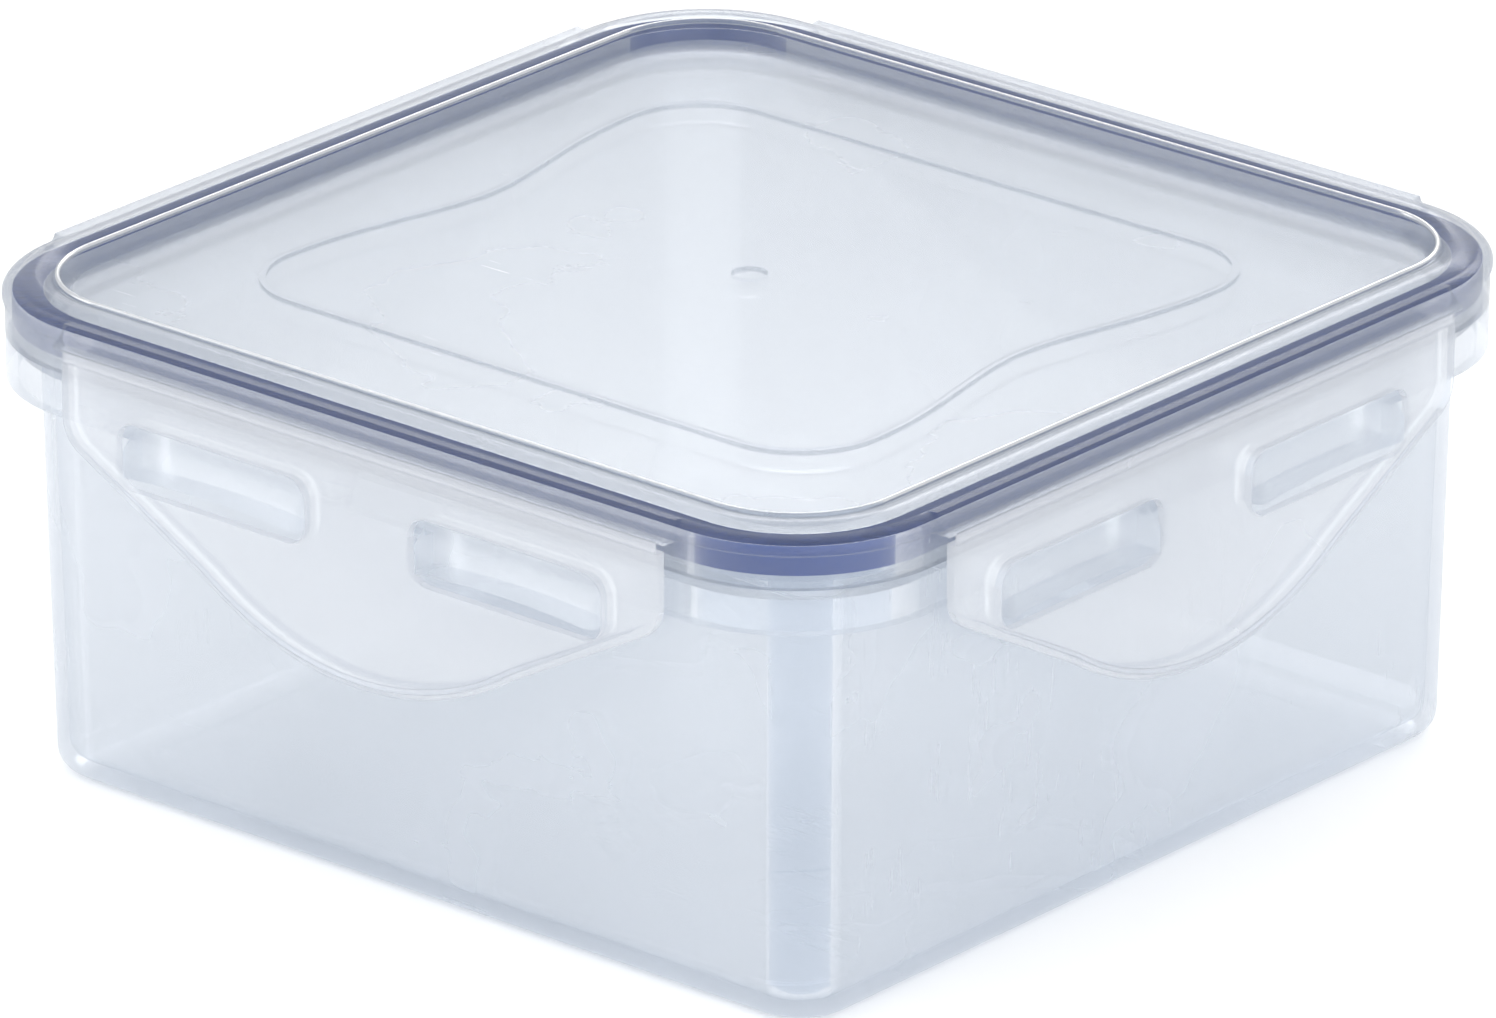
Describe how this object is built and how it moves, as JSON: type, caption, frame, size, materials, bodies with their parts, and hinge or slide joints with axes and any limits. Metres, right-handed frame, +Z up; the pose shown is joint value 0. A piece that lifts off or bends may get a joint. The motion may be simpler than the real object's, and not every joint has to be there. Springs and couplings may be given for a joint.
{
  "type": "food storage container",
  "caption": "Square clip-lock food storage container with a sealed translucent lid and hinged locking flaps.",
  "frame": {"origin": "centre of the tub's base, on the surface it stands on", "axes": "+Z up, -Y to the front flap, +X to the right flap"},
  "size_m": [0.155, 0.155, 0.0695],
  "materials": {
    "clear_polypropylene": "natural translucent polypropylene, satin to gloss",
    "lid_polypropylene": "natural translucent polypropylene, satin",
    "blue_silicone": "soft blue silicone, matt"
  },
  "bodies": {
    "tub": {"tub": "clear_polypropylene"},
    "lid": {"lid": "lid_polypropylene", "lid_seal": "blue_silicone", "living_hinge_front": "lid_polypropylene", "living_hinge_right": "lid_polypropylene", "living_hinge_back": "lid_polypropylene", "living_hinge_left": "lid_polypropylene"},
    "flap_body_front": {"flap_front": "lid_polypropylene"},
    "flap_body_right": {"flap_right": "lid_polypropylene"},
    "flap_body_back": {"flap_back": "lid_polypropylene"},
    "flap_body_left": {"flap_left": "lid_polypropylene"}
  },
  "joints": [
    {"name": "lid_lift", "type": "slide", "parent": "tub", "child": "lid", "axis": [0, 0, 1], "range_m": [0, 0.02]},
    {"name": "flap_swing_front", "type": "hinge", "parent": "lid", "child": "flap_body_front", "pos_m": [0, -0.07705, 0.0652], "axis": [-1, 0, 0], "range_deg": [0, 176]},
    {"name": "flap_swing_right", "type": "hinge", "parent": "lid", "child": "flap_body_right", "pos_m": [0.07705, 0, 0.0652], "axis": [0, -1, 0], "range_deg": [0, 176]},
    {"name": "flap_swing_back", "type": "hinge", "parent": "lid", "child": "flap_body_back", "pos_m": [0, 0.07705, 0.0652], "axis": [1, 0, 0], "range_deg": [0, 176]},
    {"name": "flap_swing_left", "type": "hinge", "parent": "lid", "child": "flap_body_left", "pos_m": [-0.07705, 0, 0.0652], "axis": [0, 1, 0], "range_deg": [0, 176]}
  ],
  "couplings": [
    {"joint": "flap_swing_front", "follows": "lid_lift", "rad_per_m": 152.72},
    {"joint": "flap_swing_right", "follows": "lid_lift", "rad_per_m": 152.72},
    {"joint": "flap_swing_back", "follows": "lid_lift", "rad_per_m": 152.72},
    {"joint": "flap_swing_left", "follows": "lid_lift", "rad_per_m": 152.72}
  ]
}
